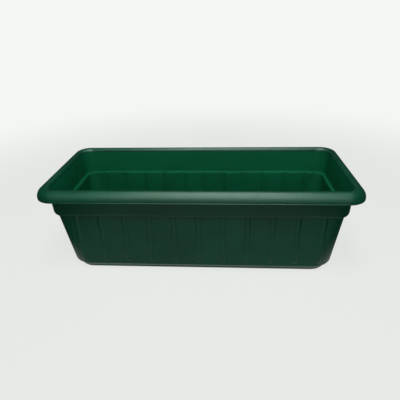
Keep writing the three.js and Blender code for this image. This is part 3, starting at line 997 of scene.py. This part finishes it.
def floor_material():
    """Matt painted board for the camera, with white laid over it, and the mirrored table for reflections."""
    material = bpy.data.materials.new("matt_painted_board")
    material.use_nodes = True
    tree = material.node_tree
    board = tree.nodes["Principled BSDF"]
    place = add_node(tree, "TexCoord").outputs["Object"]
    grain = add_node(tree, "TexNoise", {}, {"Vector": place, "Scale": per_metre(9), "Detail": 4.0})
    paint = add_node(tree, "Mix", MIX_COLOUR, {
        FACTOR: grain.outputs[0], MIX_A: linear(BOARD_DARK), MIX_B: linear(BOARD_LIGHT),
    })
    rays = add_node(tree, "LightPath")
    seen = add_node(tree, "Mix", MIX_COLOUR, {
        FACTOR: rays.outputs["Is Camera Ray"],
        MIX_A: linear(BOARD_BOUNCE),
        MIX_B: paint.outputs[MIX_RESULT],
    })
    tree.links.new(seen.outputs[MIX_RESULT], board.inputs["Base Color"])
    board.inputs["Roughness"].default_value = 0.9
    board.inputs["Specular IOR Level"].default_value = 0.1

    away = add_node(tree, "VectorMath", {"operation": "LENGTH"}, {0: place})
    clear = add_node(tree, "MapRange", {"interpolation_type": "SMOOTHSTEP"}, {
        "Value": away.outputs["Value"],
        "From Min": SHADOW_EDGES[0],
        "From Max": SHADOW_EDGES[1],
        "To Min": WHITE_SHARE,
    })
    share = add_node(tree, "Math", {"operation": "MULTIPLY"}, {
        0: clear.outputs[0], 1: rays.outputs["Is Camera Ray"],
    })
    white = add_node(tree, "Emission", {}, {"Color": linear(WHITE), "Strength": 1.0})
    sweep = add_node(tree, "MixShader", {}, {0: share.outputs[0], 1: board.outputs[0], 2: white.outputs[0]})
    floor = add_node(tree, "MixShader", {}, {
        0: rays.outputs["Is Glossy Ray"], 1: sweep.outputs[0], 2: mirrored_table(tree, place).outputs[0],
    })
    tree.links.new(floor.outputs[0], tree.nodes["Material Output"].inputs["Surface"])
    return material


floor_corners = [(x * FLOOR_HALF, y * FLOOR_HALF, 0) for x, y in ((-1, -1), (1, -1), (1, 1), (-1, 1))]
floor_mesh = bpy.data.meshes.new("studio_floor")
floor_mesh.from_pydata(floor_corners, [], [(0, 1, 2, 3)])
floor_mesh.materials.append(floor_material())
studio_floor = bpy.data.objects.new("studio_floor", floor_mesh)
bpy.context.scene.collection.objects.link(studio_floor)
print("Floor in m:", 2 * FLOOR_HALF)

# %% [markdown]
# ## The lamps
# A single lamp could give both the light and the highlight, but the highlight's width and the light's
# direction are easier to set apart. So two boxes only show as reflections, most of all in the rim, and the
# key, the upper fill and the fills at the sides and the back only give light. The low fill in front does
# both. The key comes from the front, because in the photograph the end walls inside are dark. The fills at
# the sides and the back are low: they light the outer walls, and the rim keeps most of them off the inside.

# %% Lamps
SIDE_FILL_SIZE, SIDE_FILL_RADIANCE = (0.9, 0.25), 3.4
SIDE_FILLS = {"left_fill": (-1.6, 0.3, 0.22), "right_fill": (1.6, 0.3, 0.22), "back_fill": (0.0, 1.6, 0.3)}
MIDDLE = (0.0, 0.0, 0.1)  # what the fills at the sides and the back are aimed at


def soft_box(name, place, aim, size, radiance):
    """A rectangular lamp whose face has the given radiance, where 1 is white."""
    lamp = bpy.data.lights.new(name, "AREA")
    lamp.shape = "RECTANGLE"
    lamp.size, lamp.size_y = size
    lamp.energy = radiance * math.pi * size[0] * size[1]
    thing = bpy.data.objects.new(name, lamp)
    thing.location = place
    thing.rotation_euler = (Vector(aim) - Vector(place)).to_track_quat("-Z", "Y").to_euler()
    thing.visible_camera = False
    bpy.context.scene.collection.objects.link(thing)
    return thing


mirrored_top = soft_box("mirrored_top", (0.03, -0.13, 0.9), (0.03, -0.13, 0.0), (0.52, 0.74), 5.4)
mirrored_top.visible_diffuse = False
mirrored_front = soft_box("mirrored_front", (0.03, -0.96, 0.95), (0.03, 0.0, 0.1), (0.8, 0.8), 4.8)
mirrored_front.visible_diffuse = False
key_box = soft_box("key_box", (0.03, -0.42, 1.0), (0.03, 0.0, 0.1), (0.3, 0.5), 9.5)
key_box.visible_glossy = False
soft_box("low_fill", (0.1, -1.6, 0.35), (0.0, 0.0, 0.12), (0.8, 0.4), 1.4)
upper_fill = soft_box("upper_fill", (0.0, -1.55, 0.62), (0.0, 0.0, 0.12), (1.6, 0.2), 1.8)
upper_fill.visible_glossy = False
for fill_name, fill_place in SIDE_FILLS.items():
    side_fill = soft_box(fill_name, fill_place, MIDDLE, SIDE_FILL_SIZE, SIDE_FILL_RADIANCE)
    side_fill.visible_glossy = False

# %% [markdown]
# ## The room
# The camera sees plain white all round, and all other rays see a dim room. The view is set to Standard, so
# that a colour comes out about as it is written.

# %% World and view
world = bpy.data.worlds.new("studio_room")
world.use_nodes = True
bpy.context.scene.world = world
room = world.node_tree
sight = add_node(room, "LightPath")
backdrop = room.nodes["Background"]
shade = add_node(room, "Mix", MIX_COLOUR, {
    FACTOR: sight.outputs["Is Camera Ray"], MIX_A: linear(DIM_ROOM), MIX_B: linear(WHITE),
})
room.links.new(shade.outputs[MIX_RESULT], backdrop.inputs["Color"])
bpy.context.scene.view_settings.view_transform = "Standard"
print("World:", world.name)
